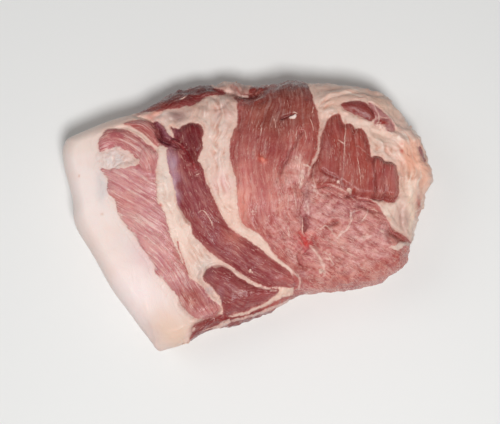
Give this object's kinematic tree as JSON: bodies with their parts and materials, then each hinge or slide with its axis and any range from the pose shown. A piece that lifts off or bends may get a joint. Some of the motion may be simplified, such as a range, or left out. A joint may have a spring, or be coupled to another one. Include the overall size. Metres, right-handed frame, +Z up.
{
  "type": "boneless pork neck",
  "caption": "Raw boneless pork neck: a thick slab of marbled meat with muscle seams, a pale back fat edge and a flat underside to rest on.",
  "frame": {"origin": "centre of the underside, on the surface that the slab rests on", "axes": "+X along the length, from the pale back fat edge towards the round end; +Y across the width; +Z up out of the cut side"},
  "size_m": [0.247, 0.182, 0.062],
  "materials": {
    "raw_meat": "moist, satin"
  },
  "bodies": {
    "root": {"pork_neck": "raw_meat"}
  },
  "joints": []
}
